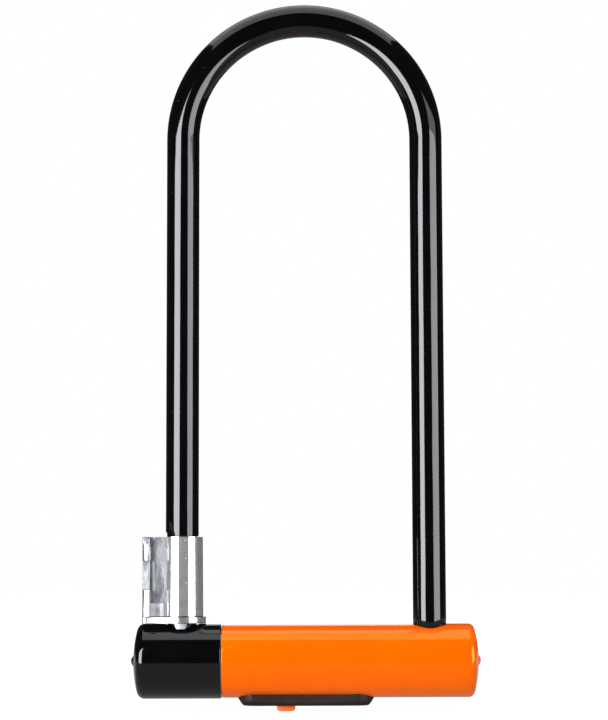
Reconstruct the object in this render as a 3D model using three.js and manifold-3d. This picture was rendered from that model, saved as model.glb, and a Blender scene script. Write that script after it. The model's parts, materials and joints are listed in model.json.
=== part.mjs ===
// A bicycle U lock: a coated steel shackle, a crossbar with a disc lock that throws two deadbolts into
// the shackle's legs, a sliding shutter over the keyway, and a polished sleeve whose rail slots into a
// bracket on the bicycle's frame.
//
// Units are millimetres, +Z is up. The origin is below the middle of the crossbar, level with the
// lowest point.
// Inside `lock` the parts are placed about the crossbar's own axis, which runs along X.
// The lock is modelled closed, with the key plug turned to open and both deadbolts drawn in.

import * as THREE from "three";
import { mergeVertices } from "three/addons/utils/BufferGeometryUtils.js";
import Module from "manifold-3d";

const wasm = await Module();
wasm.setup();

// ---- Driving dimensions --------------------------------------------------------------------------
const AXIS_HEIGHT = 23.5; // crossbar axis above the shutter's tab
const LEG_X = 58.9; // each leg's centreline from the middle
const BEND_HEIGHT = 251.2; // centre of the shackle's bend above the crossbar axis
const BAR_R = 7; // bare steel of the shackle
const COAT_R = 7.9; // outside of the vinyl over it
const LEG_FOOT = -9.5; // the legs' lower ends, inside the crossbar
const COAT_FOOT_LEFT = 59; // the coating stops above the bracket sleeve
const COAT_FOOT_RIGHT = 13.4; // and just inside the crossbar on the other leg

const TUBE_R = 16;
const TUBE_BORE = 13;
const TUBE_END = 78.4;
const SLEEVE_R = 17.3;
const CAP_R = 17.7;
const SKIN_BORE = 16.3; // inside of both plastic covers
const SEAM_X = -39.9; // where the end cap meets the sleeve
const SEAM_GAP = 0.3;
const COVER_SIDES = 36; // facets round the crossbar
const DOME_END = 81.9; // apex of each domed end
const DOME_R = 60;
const NUB_END = 83.1; // moulding nub on each dome
const LEG_HOLE_R = 8.5;
const KEY_HOLE_R = 9;
const SKIN_KEY_HOLE_R = 7.9; // hidden behind the surround's walls
const RING_R = 7.4; // keyway ring, inside the surround's walls

const INSERT_R = 12.8; // steel inserts that fill the tube's bore
const BOLT_HALF_WIDTH = 4.5;
const BOLT_LOW = 4.9;
const BOLT_HIGH = 11.2;
const BOLT_TIP = 51.4; // drawn in, just short of the leg
const BOLT_TAIL = 0.6;
const BOLT_THROW = 5;
const RUN = 0.2; // sliding clearance
const PAST = 1; // how far a cutting tool runs past the face it opens

const PLUG_R = 6.5;
const PLUG_LOW = -14.2;
const PLUG_HIGH = 2;
const DISC_R = 5;
const DISC_THICK = 1.4;
const SPACER_THICK = 0.35;
const DISC_PITCH = 1.85;
const DISC_COUNT = 6;
const DISC_TOP = -1.75; // upper face of the innermost disc
const SIDEBAR_ORBIT = 5.5;
const SIDEBAR_R = 0.85;
const SIDEBAR_LOW = -12.4;

const CAM_R = 11;
const CAM_LOW = 2.2;
const CAM_HIGH = 4.6;
const CAM_START = 3.5; // follower pin's distance from the plug's axis when drawn in
const CAM_TURN = Math.PI / 2;
const FOLLOWER_R = 1.2;
const FOLLOWER_DEPTH = 3; // how far the pin is pressed into its deadbolt
const CAM_SCREW_ORBIT = 5;

const FACE_LOW = -20.9; // lowest face of the keyway surround
const SHUTTER_HIGH = -18.1;
const SHUTTER_LOW = -19.4;
const SHUTTER_X = [-15.2, 7.6];
const SHUTTER_HALF = 5.5;
const SHUTTER_THROW = 12.6; // enough to clear the keyway
const TAB_X = [-13.85, -5.05];
const TAB_LOW = -AXIS_HEIGHT;
const TAB_HALF = 4;

const BRACKET_LOW = 17.9;
const BRACKET_HIGH = 58.7;
const BRACKET_R = 10.05;
const FLANGE_R = 11.4;
const FLANGE_THICK = 3;
const RAIL_OUT = -18.4; // rail's outer face from the leg's centreline
const RAIL_IN = -14.9;
const RAIL_HALF = 10;

// ---- Materials -----------------------------------------------------------------------------------
const finish = (color, roughness, metalness) =>
  new THREE.MeshStandardMaterial({ color, roughness, metalness });
const blackVinyl = finish(0x0a0a0b, 0.18, 0);
const orangeVinyl = finish(0xf26400, 0.22, 0);
const darkPlastic = finish(0x231c1b, 0.55, 0);
const orangePlastic = finish(0xf0561a, 0.35, 0);
const polishedZinc = finish(0xd8dadd, 0.15, 1);
const hardSteel = finish(0x8f9296, 0.35, 1);
const lockBrass = finish(0xb99a55, 0.35, 1);
const pinSteel = finish(0x6f7276, 0.4, 1);

// ---- Solids: three.js geometry in, manifold-3d joins and cuts ------------------------------------
function solid(geometry) {
  const bare = geometry.clone();
  bare.deleteAttribute("normal");
  bare.deleteAttribute("uv");
  const merged = mergeVertices(bare, 1e-4);
  const index = merged.index.array;
  const triVerts = [];
  for (let i = 0; i < index.length; i += 3) {
    const [a, b, c] = [index[i], index[i + 1], index[i + 2]];
    if (a !== b && b !== c && c !== a) triVerts.push(a, b, c);
  }
  const build = (corners) =>
    new wasm.Manifold(
      new wasm.Mesh({
        numProp: 3,
        vertProperties: new Float32Array(merged.attributes.position.array),
        triVerts: new Uint32Array(corners),
      }),
    );
  const made = build(triVerts);
  return made.volume() > 0 ? made : build(triVerts.reverse());
}

function geometryOf(made) {
  const mesh = made.getMesh();
  const geometry = new THREE.BufferGeometry();
  geometry.setAttribute("position", new THREE.BufferAttribute(new Float32Array(mesh.vertProperties), 3));
  geometry.setIndex(new THREE.BufferAttribute(new Uint32Array(mesh.triVerts), 1));
  geometry.computeVertexNormals();
  return geometry;
}

const cut = (body, ...tools) => tools.reduce((left, tool) => left.subtract(tool), body);
const join = (body, ...more) => more.reduce((sum, piece) => sum.add(piece), body);

// A span of X on the right-hand side, or its mirror image on the left, lower end first.
const onSide = (side, near, far) => (side > 0 ? [near, far] : [-far, -near]);

function box(x0, x1, y0, y1, z0, z1) {
  const geometry = new THREE.BoxGeometry(x1 - x0, y1 - y0, z1 - z0);
  return solid(geometry.translate((x0 + x1) / 2, (y0 + y1) / 2, (z0 + z1) / 2));
}

// Round bars along each axis, between two ends.
function barX(radius, x0, x1, y = 0, z = 0, sides = COVER_SIDES) {
  const geometry = new THREE.CylinderGeometry(radius, radius, x1 - x0, sides).rotateZ(-Math.PI / 2);
  return solid(geometry.translate((x0 + x1) / 2, y, z));
}
function barY(radius, y0, y1, x = 0, z = 0, sides = 16) {
  return solid(new THREE.CylinderGeometry(radius, radius, y1 - y0, sides).translate(x, (y0 + y1) / 2, z));
}
function barZ(radius, z0, z1, x = 0, y = 0, sides = 28) {
  const geometry = new THREE.CylinderGeometry(radius, radius, z1 - z0, sides).rotateX(Math.PI / 2);
  return solid(geometry.translate(x, y, (z0 + z1) / 2));
}

// A profile of [radius, distance along the axis] points turned about X or Z.
const points = (profile) => profile.map(([radius, along]) => new THREE.Vector2(radius, along));
const turnX = (profile) => solid(new THREE.LatheGeometry(points(profile), COVER_SIDES).rotateZ(-Math.PI / 2));
const turnZ = (profile, sides = 28) =>
  solid(new THREE.LatheGeometry(points(profile), sides).rotateX(Math.PI / 2));

// An outline in X and Z, as thick as y0 to y1.
function slabY(outline, y0, y1) {
  const shape = new THREE.Shape(outline.map(([x, z]) => new THREE.Vector2(x, z)));
  const geometry = new THREE.ExtrudeGeometry(shape, { depth: y1 - y0, bevelEnabled: false });
  return solid(geometry.rotateX(Math.PI / 2).translate(0, y1, 0));
}

// An outline in X and Y, as thick as z0 to z1.
function slabZ(shape, z0, z1, curveSegments = 8) {
  const geometry = new THREE.ExtrudeGeometry(shape, { depth: z1 - z0, bevelEnabled: false, curveSegments });
  return solid(geometry.translate(0, 0, z0));
}

// ---- Shackle -------------------------------------------------------------------------------------
// Up one leg, round the half-circle bend and down the other, with one step for each straight leg.
class ShackleLine extends THREE.Curve {
  constructor(leftFoot, rightFoot, bendSteps) {
    super();
    Object.assign(this, { leftFoot, rightFoot, bendSteps, steps: bendSteps + 2 });
  }

  angleAt(u) {
    const step = Math.min(Math.max(u * this.steps - 1, 0), this.bendSteps);
    return Math.PI * (1 - step / this.bendSteps);
  }

  getPointAt(u) {
    if (u <= 0) return new THREE.Vector3(-LEG_X, 0, this.leftFoot);
    if (u >= 1) return new THREE.Vector3(LEG_X, 0, this.rightFoot);
    const angle = this.angleAt(u);
    return new THREE.Vector3(LEG_X * Math.cos(angle), 0, BEND_HEIGHT + LEG_X * Math.sin(angle));
  }

  getTangentAt(u) {
    const angle = this.angleAt(u);
    return new THREE.Vector3(Math.sin(angle), 0, -Math.cos(angle));
  }
}

function ring(radius, bore) {
  const shape = new THREE.Shape().absarc(0, 0, radius, 0, 2 * Math.PI, false);
  if (bore) shape.holes.push(new THREE.Path().absarc(0, 0, bore, 0, 2 * Math.PI, true));
  return shape;
}

const SHACKLE_SIDES = 20;
const BEND_STEPS = 22;

function sweep(shape, leftFoot, rightFoot) {
  const line = new ShackleLine(leftFoot, rightFoot, BEND_STEPS);
  const curveSegments = SHACKLE_SIDES / 2;
  return solid(new THREE.ExtrudeGeometry(shape, { steps: line.steps, extrudePath: line, curveSegments }));
}

// Each leg's foot is chamfered, and has a notch on its inner side that a deadbolt fills.
function shackleBar() {
  const [chamfer, endPlay, heightPlay] = [1.2, 0.3, 0.4];
  const notchFloor = LEG_X - BAR_R + BOLT_THROW + endPlay;
  const footRing = turnZ([
    [BAR_R + PAST, LEG_FOOT - PAST],
    [BAR_R + PAST, LEG_FOOT + chamfer + PAST],
    [BAR_R - chamfer - PAST, LEG_FOOT - PAST],
    [BAR_R + PAST, LEG_FOOT - PAST],
  ]);
  let bar = sweep(ring(BAR_R), LEG_FOOT, LEG_FOOT);
  for (const side of [-1, 1]) {
    const across = onSide(side, LEG_X - BAR_R - PAST, notchFloor);
    bar = cut(
      bar,
      box(...across, -BAR_R - PAST, BAR_R + PAST, BOLT_LOW - heightPlay, BOLT_HIGH + heightPlay),
      footRing.translate([side * LEG_X, 0, 0]),
    );
  }
  return bar;
}

const shackleCoating = () => sweep(ring(COAT_R, BAR_R + RUN), COAT_FOOT_LEFT, COAT_FOOT_RIGHT);

// ---- Crossbar covers and tube --------------------------------------------------------------------
// Half section of a domed cover: nub, shallow dome, rounded corner, straight wall, then back along the bore.
function domedCover(radius, corner, openEnd) {
  const domeX = (r) => DOME_END - DOME_R + Math.sqrt(DOME_R ** 2 - r ** 2);
  const centreR = radius - corner;
  const lean = Math.asin(centreR / (DOME_R - corner));
  const centreX = DOME_END - DOME_R + (DOME_R - corner) * Math.cos(lean);
  const profile = [
    [0, NUB_END],
    [1.9, NUB_END],
    [3.3, domeX(3.3)],
  ];
  for (const r of [6.5, 10]) profile.push([r, domeX(r)]);
  const cornerSteps = 5;
  for (let i = 0; i <= cornerSteps; i++) {
    const angle = lean + ((Math.PI / 2 - lean) * i) / cornerSteps;
    profile.push([centreR + corner * Math.sin(angle), centreX + corner * Math.cos(angle)]);
  }
  const edge = 0.5;
  profile.push([radius, openEnd + edge], [radius - edge, openEnd], [SKIN_BORE, openEnd]);
  profile.push([SKIN_BORE, TUBE_END + 0.3], [0, TUBE_END + 0.3]);
  return turnX(profile);
}

const legHole = (side) => barZ(LEG_HOLE_R, 0, CAP_R + PAST, side * LEG_X);
const keyHole = (radius) => barZ(radius, -CAP_R - PAST, -TUBE_BORE / 2);

const CLIP_X = 20;
const CLIP_LENGTH = 5;
const CLIP_IN = 5.9;
const CLIP_OUT = 7.3;

// The four slots that the keyway surround's clips pass through.
function clipSlots() {
  const room = 0.25;
  const half = CLIP_LENGTH / 2 + room;
  const slots = [];
  for (const x of [-CLIP_X, CLIP_X]) {
    for (const side of [-1, 1]) {
      const across = onSide(side, CLIP_IN - room, CLIP_OUT + room);
      slots.push(box(x - half, x + half, ...across, -CAP_R, -TUBE_BORE / 2));
    }
  }
  return slots;
}

const crossbarSleeve = () =>
  cut(
    domedCover(SLEEVE_R, 3, SEAM_X + SEAM_GAP / 2),
    legHole(1),
    keyHole(SKIN_KEY_HOLE_R),
    ...clipSlots(),
  );

const endCap = () =>
  cut(domedCover(CAP_R, 3.7, -SEAM_X + SEAM_GAP / 2).rotate([0, 0, 180]), legHole(-1));

// Cross pins: [name, x, height, radius, half length], each through the tube's wall.
const CROSS_PINS = [
  ["end_plug_pin_left", -75, 0, 2, 15.6],
  ["end_plug_pin_right", 75, 0, 2, 15.6],
  ["socket_pin_left", -68.4, 0, 1.5, 15.7],
  ["socket_pin_right", 68.4, 0, 1.5, 15.7],
  ["block_pin_left", -9.6, -5, 1.5, 14.5],
  ["block_pin_right", 9.6, -5, 1.5, 14.5],
];
const pinHoles = (from, to) =>
  CROSS_PINS.filter(([, x]) => x > from && x < to).map(([, x, height, radius]) =>
    barY(radius + RUN, -CAP_R, CAP_R, x, height),
  );

function crossbarTube() {
  const wall = cut(barX(TUBE_R, -TUBE_END, TUBE_END), barX(TUBE_BORE, -TUBE_END - PAST, TUBE_END + PAST));
  const holes = [legHole(-1), legHole(1), keyHole(KEY_HOLE_R)];
  return cut(wall, ...holes, ...clipSlots(), ...pinHoles(-TUBE_END, TUBE_END));
}

// ---- Steel inserts in the tube -------------------------------------------------------------------
const PLUG_END_X = [71.6, 78.2];
const SOCKET_X = [48.2, 70.9];
const boltChannel = (x0, x1, top = BOLT_HIGH + RUN) =>
  box(x0, x1, -BOLT_HALF_WIDTH - RUN, BOLT_HALF_WIDTH + RUN, BOLT_LOW - RUN, top);

const endPlug = (side) => {
  const span = onSide(side, ...PLUG_END_X);
  return cut(barX(INSERT_R, ...span), ...pinHoles(...span));
};

// Takes a leg's foot in a blind bore, and guides the deadbolt into its notch.
const legSocket = (side) => {
  const span = onSide(side, ...SOCKET_X);
  const bore = barZ(BAR_R + 0.3, LEG_FOOT - 0.5, INSERT_R + PAST, side * LEG_X);
  const channel = boltChannel(...onSide(side, SOCKET_X[0] - PAST, LEG_X));
  return cut(barX(INSERT_R, ...span), bore, channel, ...pinHoles(...span));
};

const BLOCK_HALF = 15;
const SHELL_R = 8.7;
const SHELL_LOW = -15.2;
const SHELL_HIGH = 1.7;
const SPIGOT_R = 7.7; // narrower foot of the shell, inside the sleeve's hole
const SPIGOT_HIGH = -13.5;

// Holds the lock cylinder upright, with the cam's chamber and the deadbolts' channel above it.
const lockBlock = () =>
  cut(
    barX(INSERT_R, -BLOCK_HALF, BLOCK_HALF),
    barZ(SHELL_R + RUN, -INSERT_R - PAST, SHELL_HIGH + RUN),
    barZ(CAM_R + 2 * RUN, SHELL_HIGH + RUN / 2, INSERT_R + PAST),
    boltChannel(-BLOCK_HALF - PAST, BLOCK_HALF + PAST, INSERT_R + PAST),
    ...pinHoles(-BLOCK_HALF, BLOCK_HALF),
  );

// ---- Lock cylinder -------------------------------------------------------------------------------
const LIP_R = 4.4; // mouth for the key, under the plug

// Fixed shell with a stepped foot, notched by the two block pins, with the sidebar's locking groove.
const cylinderShell = () =>
  cut(
    barZ(SHELL_R, SHELL_LOW, SHELL_HIGH),
    cut(
      barZ(SHELL_R + PAST, SHELL_LOW - PAST, SPIGOT_HIGH),
      barZ(SPIGOT_R, SHELL_LOW - 2 * PAST, SPIGOT_HIGH + PAST),
    ),
    barZ(PLUG_R + RUN, PLUG_LOW - RUN, SHELL_HIGH + PAST),
    barZ(LIP_R, SHELL_LOW - PAST, SHELL_HIGH),
    barZ(SIDEBAR_R + RUN, SIDEBAR_LOW - RUN, SHELL_HIGH + PAST, -PLUG_R - RUN, 0, 12),
    ...pinHoles(-BLOCK_HALF, BLOCK_HALF),
  );

const atAngle = (orbit, angle) => [orbit * Math.cos(angle), orbit * Math.sin(angle)];
const SCREW_ANGLES = [Math.PI / 4, (5 * Math.PI) / 4];
const CAVITY_TOP = DISC_TOP + 0.25;
const TAP_R = 1.05;

// Turning core with the disc stack's cavity, the sidebar's slot and two tapped holes for the cam.
const keyPlug = () =>
  cut(
    barZ(PLUG_R, PLUG_LOW, PLUG_HIGH),
    barZ(DISC_R + RUN, PLUG_LOW - PAST, CAVITY_TOP),
    box(-SIDEBAR_R - RUN, SIDEBAR_R + RUN, DISC_R - PAST, PLUG_R + PAST, SIDEBAR_LOW - RUN, CAVITY_TOP),
    ...SCREW_ANGLES.map((angle) =>
      barZ(TAP_R, -1.1, PLUG_HIGH + PAST, ...atAngle(CAM_SCREW_ORBIT, angle), 12),
    ),
  );

const sidebarNotch = () => barZ(SIDEBAR_R + RUN, -PAST - DISC_THICK, PAST, 0, SIDEBAR_ORBIT, 12);

// A coded disc: the key's slot, the true gate under the sidebar, and shallow false gates elsewhere.
function codedDisc(number) {
  const keySlot = box(-1.2, 1.2, -3, 3, -DISC_THICK - PAST, PAST);
  const falseGates = [0.9, 1.9].map((turn) => {
    const [x, y] = atAngle(SIDEBAR_ORBIT + 0.25, Math.PI / 2 + turn + 0.35 * number);
    return barZ(SIDEBAR_R, -DISC_THICK - PAST, PAST, x, y, 10);
  });
  return cut(barZ(DISC_R, -DISC_THICK, 0), keySlot, sidebarNotch(), ...falseGates);
}

const discSpacer = () =>
  cut(barZ(DISC_R, -SPACER_THICK, 0), barZ(3.3, -PAST, PAST, 0, 0, 20), sidebarNotch());

// Hardened front disc that spins with the key, against drills.
const FRONT_DISC_THICK = 1.5;
const frontDisc = () =>
  cut(barZ(DISC_R, -FRONT_DISC_THICK, 0), box(-1.25, 1.25, -3.1, 3.1, -FRONT_DISC_THICK - PAST, PAST));

const sidebar = () => barZ(SIDEBAR_R, SIDEBAR_LOW, DISC_TOP - 0.15, 0, SIDEBAR_ORBIT, 12);

// A spiral slot: the follower pin moves out in step with the turn, so the throw is in constant ratio to it.
function spiralSlot() {
  const half = FOLLOWER_R + RUN;
  const rate = BOLT_THROW / CAM_TURN;
  const steps = 10;
  const sides = [[], []];
  const ends = [];
  for (let i = 0; i <= steps; i++) {
    const turn = (CAM_TURN * i) / steps;
    const radius = CAM_START + rate * turn;
    const centre = new THREE.Vector2(...atAngle(radius, -turn));
    const tangent = new THREE.Vector2(rate, -radius).rotateAround(new THREE.Vector2(), -turn).normalize();
    const normal = new THREE.Vector2(-tangent.y, tangent.x).multiplyScalar(half);
    sides[0].push(centre.clone().add(normal));
    sides[1].unshift(centre.clone().sub(normal));
    if (i === 0 || i === steps) {
      ends.push(barZ(half, CAM_LOW - PAST, CAM_HIGH + PAST, centre.x, centre.y, 16));
    }
  }
  return join(slabZ(new THREE.Shape(sides.flat()), CAM_LOW - PAST, CAM_HIGH + PAST), ...ends);
}

function boltCam() {
  const slot = spiralSlot();
  const screwHole = (angle) => {
    const [x, y] = atAngle(CAM_SCREW_ORBIT, angle);
    const profile = [[0, 0], [TAP_R, 0], [TAP_R, CAM_HIGH - 0.9], [2, CAM_HIGH + 0.1], [0, CAM_HIGH + 0.1]];
    return turnZ(profile, 16).translate([x, y, 0]);
  };
  const disc = barZ(CAM_R, CAM_LOW, CAM_HIGH, 0, 0, 40);
  return cut(disc, slot, slot.rotate([0, 0, 180]), ...SCREW_ANGLES.map(screwHole));
}

const camScrew = () =>
  turnZ([[0, -0.9], [0.9, -0.9], [0.9, CAM_HIGH - 1], [1.75, CAM_HIGH - 0.15], [0, CAM_HIGH - 0.15]], 16);

// ---- Deadbolts -----------------------------------------------------------------------------------
// Both are drawn for the right-hand side; the left one is the same bolt turned half round.
function deadbolt() {
  const nose = 1;
  const outline = [
    [BOLT_TAIL, BOLT_LOW],
    [BOLT_TIP - nose, BOLT_LOW],
    [BOLT_TIP, BOLT_LOW + nose],
    [BOLT_TIP, BOLT_HIGH - nose],
    [BOLT_TIP - nose, BOLT_HIGH],
    [BOLT_TAIL, BOLT_HIGH],
  ];
  return cut(
    slabY(outline, -BOLT_HALF_WIDTH, BOLT_HALF_WIDTH),
    barZ(FOLLOWER_R + RUN / 2, BOLT_LOW - PAST, BOLT_LOW + FOLLOWER_DEPTH + RUN, CAM_START, 0, 16),
  );
}

const followerPin = () => barZ(FOLLOWER_R, CAM_LOW + RUN, BOLT_LOW + FOLLOWER_DEPTH, CAM_START, 0, 16);

// ---- Keyway surround and shutter -----------------------------------------------------------------
const SURROUND_HALF = [32.2, 8.5];
const SURROUND_ROUND = 2.8;

// Long round-ended body with rounded lower edges.
function surroundBlank() {
  const [halfLength, halfWidth] = SURROUND_HALF;
  const centre = halfLength - halfWidth;
  const shape = new THREE.Shape()
    .absarc(centre, 0, halfWidth, -Math.PI / 2, Math.PI / 2, false)
    .absarc(-centre, 0, halfWidth, Math.PI / 2, (3 * Math.PI) / 2, false);
  const bevel = { bevelThickness: SURROUND_ROUND, bevelSize: SURROUND_ROUND, bevelOffset: -SURROUND_ROUND };
  const settings = { depth: 5, curveSegments: 9, bevelSegments: 3, ...bevel };
  const geometry = new THREE.ExtrudeGeometry(shape, settings);
  return solid(geometry.translate(0, 0, FACE_LOW + SURROUND_ROUND));
}

// Moulded body on the sleeve, with the shutter's channel, the thumb slot, and four hooked clips behind it.
function keywaySurround() {
  const channelFloor = SHUTTER_LOW - RUN;
  const [channelHalf, slotHalf, top] = [SHUTTER_HALF + RUN, TAB_HALF + 0.5, -10];
  const [start, end] = [SHUTTER_X[0] - SHUTTER_THROW - 0.4, SHUTTER_X[1] + 0.4];
  let body = cut(
    surroundBlank(),
    barX(SLEEVE_R + 0.3, -40, 40),
    box(start, end, -channelHalf, channelHalf, channelFloor, top),
    box(end + 2.1, 29, -channelHalf, channelHalf, channelFloor, top),
    box(TAB_X[0] - SHUTTER_THROW - 1.1, 5.8, -slotHalf, slotHalf, FACE_LOW - PAST, top),
    barZ(RING_R + RUN, SHUTTER_HIGH + RUN, top),
  );
  const [foot, hookLow, hookHigh, hookOut] = [-18, -9.6, -8.4, 8.2];
  for (const x of [-CLIP_X, CLIP_X]) {
    const along = [x - CLIP_LENGTH / 2, x + CLIP_LENGTH / 2];
    for (const side of [-1, 1]) {
      body = join(
        body,
        box(...along, ...onSide(side, CLIP_IN, CLIP_OUT), foot, hookHigh),
        box(...along, ...onSide(side, CLIP_IN, hookOut), hookLow, hookHigh),
      );
    }
  }
  return body;
}

const keywayRing = () =>
  cut(barZ(RING_R, -17.6, SHELL_LOW - 0.2), barZ(4.9, -20, -10));

// Flat shutter with the thumb tab that stands out of the surround's slot.
function dustShutter() {
  const [x0, x1] = TAB_X;
  const round = 1.2;
  const tab = [
    [x0, SHUTTER_LOW + 0.5],
    [x0, TAB_LOW + round],
    [x0 + round, TAB_LOW],
    [x1 - round, TAB_LOW],
    [x1, TAB_LOW + round],
    [x1, SHUTTER_LOW + 0.5],
  ];
  const plate = box(...SHUTTER_X, -SHUTTER_HALF, SHUTTER_HALF, SHUTTER_LOW, SHUTTER_HIGH);
  return join(plate, slabY(tab, -TAB_HALF, TAB_HALF));
}

// ---- Bracket sleeve, about the left leg's centreline ---------------------------------------------
const NECK_HALF = 5; // half width of the neck between sleeve and rail
const STOP_HIGH = 27.4;
const LATCH_Z = [33.7, 47.6];

// Rail seen along X: a lead-in at the top, and a latch notch in the front and the back edge.
function railPlate() {
  const [leadHeight, leadDepth, notchDepth] = [4.8, 1.6, 2.4];
  const edge = [
    [RAIL_HALF, BRACKET_LOW + 1],
    [RAIL_HALF, LATCH_Z[0]],
    [RAIL_HALF - notchDepth, LATCH_Z[0]],
    [RAIL_HALF - notchDepth, LATCH_Z[1]],
    [RAIL_HALF, LATCH_Z[1]],
    [RAIL_HALF, BRACKET_HIGH - leadHeight],
    [RAIL_HALF - leadDepth, BRACKET_HIGH],
  ];
  const mirrored = edge.map(([y, z]) => [-y, z]).reverse();
  const shape = new THREE.Shape([...edge, ...mirrored].map(([y, z]) => new THREE.Vector2(y, z)));
  const geometry = new THREE.ExtrudeGeometry(shape, { depth: RAIL_IN - RAIL_OUT, bevelEnabled: false });
  return solid(geometry.rotateX(Math.PI / 2).rotateZ(Math.PI / 2).translate(RAIL_OUT, 0, 0));
}

// Foot of the sleeve: a round flange that runs out square under the rail.
function bracketFoot() {
  const corner = 1;
  const shape = new THREE.Shape()
    .moveTo(0, -RAIL_HALF)
    .absarc(RAIL_OUT + corner, corner - RAIL_HALF, corner, -Math.PI / 2, -Math.PI, true)
    .absarc(RAIL_OUT + corner, RAIL_HALF - corner, corner, Math.PI, Math.PI / 2, true)
    .lineTo(0, RAIL_HALF);
  const high = BRACKET_LOW + FLANGE_THICK;
  return join(slabZ(shape, BRACKET_LOW, high, 3), barZ(FLANGE_R, BRACKET_LOW, high));
}

// Front and back tongues reach down the crossbar's curve and stop the sleeve turning.
function bracketTongues() {
  const [wide, narrow, low, high] = [3.3, 2.2, 15.3, BRACKET_LOW + 1];
  const outline = [
    [-wide, high],
    [-wide, BRACKET_LOW],
    [-narrow, low],
    [narrow, low],
    [wide, BRACKET_LOW],
    [wide, high],
  ];
  const [inner, outer] = [9.5, FLANGE_R - 0.25];
  return join(slabY(outline, -outer, -inner), slabY(outline, inner, outer));
}

// Pressed onto the bare leg; the neck between tube and rail leaves a groove in front and behind.
function bracketSleeve() {
  const tube = turnZ([
    [0, BRACKET_LOW],
    [BRACKET_R + 0.15, BRACKET_LOW],
    [BRACKET_R - 0.15, BRACKET_HIGH],
    [0, BRACKET_HIGH],
  ]);
  const neck = box(RAIL_IN - 1, -8, -NECK_HALF, NECK_HALF, BRACKET_LOW + 1, BRACKET_HIGH);
  const stop = box(RAIL_IN - 1, -9.9, 0.8 - RAIL_HALF, RAIL_HALF - 0.8, BRACKET_LOW + 1, STOP_HIGH);
  return cut(
    join(tube, bracketFoot(), railPlate(), neck, stop, bracketTongues()),
    barZ(BAR_R + 0.25, 0, BRACKET_HIGH + 1),
  );
}

// ---- Assembly ------------------------------------------------------------------------------------
const lock = new THREE.Group();
lock.position.z = AXIS_HEIGHT;

function place(name, made, material, parent = lock) {
  const mesh = new THREE.Mesh(made.isBufferGeometry ? made : geometryOf(made), material);
  mesh.name = name;
  parent.add(mesh);
  return mesh;
}

place("shackle_bar", shackleBar(), hardSteel);
place("shackle_coating", shackleCoating(), blackVinyl);
place("crossbar_tube", crossbarTube(), hardSteel);
place("crossbar_sleeve", crossbarSleeve(), orangeVinyl);
place("end_cap", endCap(), blackVinyl);
for (const [name, x, height, radius, half] of CROSS_PINS) {
  place(name, barY(radius, -half, half, x, height), pinSteel);
}
for (const [word, side] of [["left", -1], ["right", 1]]) {
  place(`end_plug_${word}`, endPlug(side), hardSteel);
  place(`leg_socket_${word}`, legSocket(side), hardSteel);
}

place("lock_block", lockBlock(), hardSteel);
place("cylinder_shell", cylinderShell(), lockBrass);
place("key_plug", keyPlug(), lockBrass);
place("sidebar", sidebar(), pinSteel);
place("front_disc", frontDisc(), hardSteel).position.z = PLUG_LOW + RUN + FRONT_DISC_THICK;
const spacer = geometryOf(discSpacer());
for (let number = 1; number <= DISC_COUNT; number++) {
  const top = DISC_TOP - DISC_PITCH * (DISC_COUNT - number);
  place(`disc_${number}`, codedDisc(number), lockBrass).position.z = top;
  if (number > 1) place(`disc_spacer_${number - 1}`, spacer, pinSteel).position.z = top - DISC_THICK - 0.05;
}
place("bolt_cam", boltCam(), hardSteel);
SCREW_ANGLES.forEach((angle, i) => {
  const [x, y] = atAngle(CAM_SCREW_ORBIT, angle);
  place(`cam_screw_${i + 1}`, camScrew(), pinSteel).position.set(x, y, 0);
});

for (const [word, turn] of [["left", Math.PI], ["right", 0]]) {
  const half = new THREE.Group();
  half.rotation.z = turn;
  lock.add(half);
  place(`deadbolt_${word}`, deadbolt(), hardSteel, half);
  place(`follower_pin_${word}`, followerPin(), pinSteel, half);
}

place("keyway_ring", keywayRing(), darkPlastic);
place("keyway_surround", keywaySurround(), darkPlastic);
place("dust_shutter", dustShutter(), orangePlastic);
place("bracket_sleeve", bracketSleeve(), polishedZinc).position.x = -LEG_X;

const part = new THREE.Group();
part.add(lock);
export default part;
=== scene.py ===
import json
import math

import bmesh
import bpy
from mathutils import Matrix, Vector

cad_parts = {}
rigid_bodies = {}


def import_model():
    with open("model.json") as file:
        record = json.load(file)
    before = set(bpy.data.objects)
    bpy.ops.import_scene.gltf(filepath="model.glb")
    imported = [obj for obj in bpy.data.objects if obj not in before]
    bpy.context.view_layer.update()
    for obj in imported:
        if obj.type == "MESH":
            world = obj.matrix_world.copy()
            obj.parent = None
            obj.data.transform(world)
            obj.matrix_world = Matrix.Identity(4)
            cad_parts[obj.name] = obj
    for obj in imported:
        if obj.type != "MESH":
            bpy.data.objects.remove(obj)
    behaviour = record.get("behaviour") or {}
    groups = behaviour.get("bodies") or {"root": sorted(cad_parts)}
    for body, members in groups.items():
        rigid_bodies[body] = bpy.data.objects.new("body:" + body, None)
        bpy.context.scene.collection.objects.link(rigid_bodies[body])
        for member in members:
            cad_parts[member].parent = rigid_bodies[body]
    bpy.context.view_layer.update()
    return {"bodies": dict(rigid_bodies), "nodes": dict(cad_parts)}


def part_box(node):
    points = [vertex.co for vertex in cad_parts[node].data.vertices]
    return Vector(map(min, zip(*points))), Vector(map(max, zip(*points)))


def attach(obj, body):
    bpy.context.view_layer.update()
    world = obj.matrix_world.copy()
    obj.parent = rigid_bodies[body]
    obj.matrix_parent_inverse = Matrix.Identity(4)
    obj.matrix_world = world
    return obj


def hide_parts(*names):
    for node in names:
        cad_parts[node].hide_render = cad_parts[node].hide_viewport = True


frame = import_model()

for thing in list(bpy.data.objects):
    if thing.name not in frame["nodes"] and thing not in frame["bodies"].values():
        bpy.data.objects.remove(thing)

# ---- Measures from the frame, in millimetres; heights below are above the crossbar's axis ----
MM = 0.001


def node_box(name):
    low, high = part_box(name)
    return low / MM, high / MM


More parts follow.
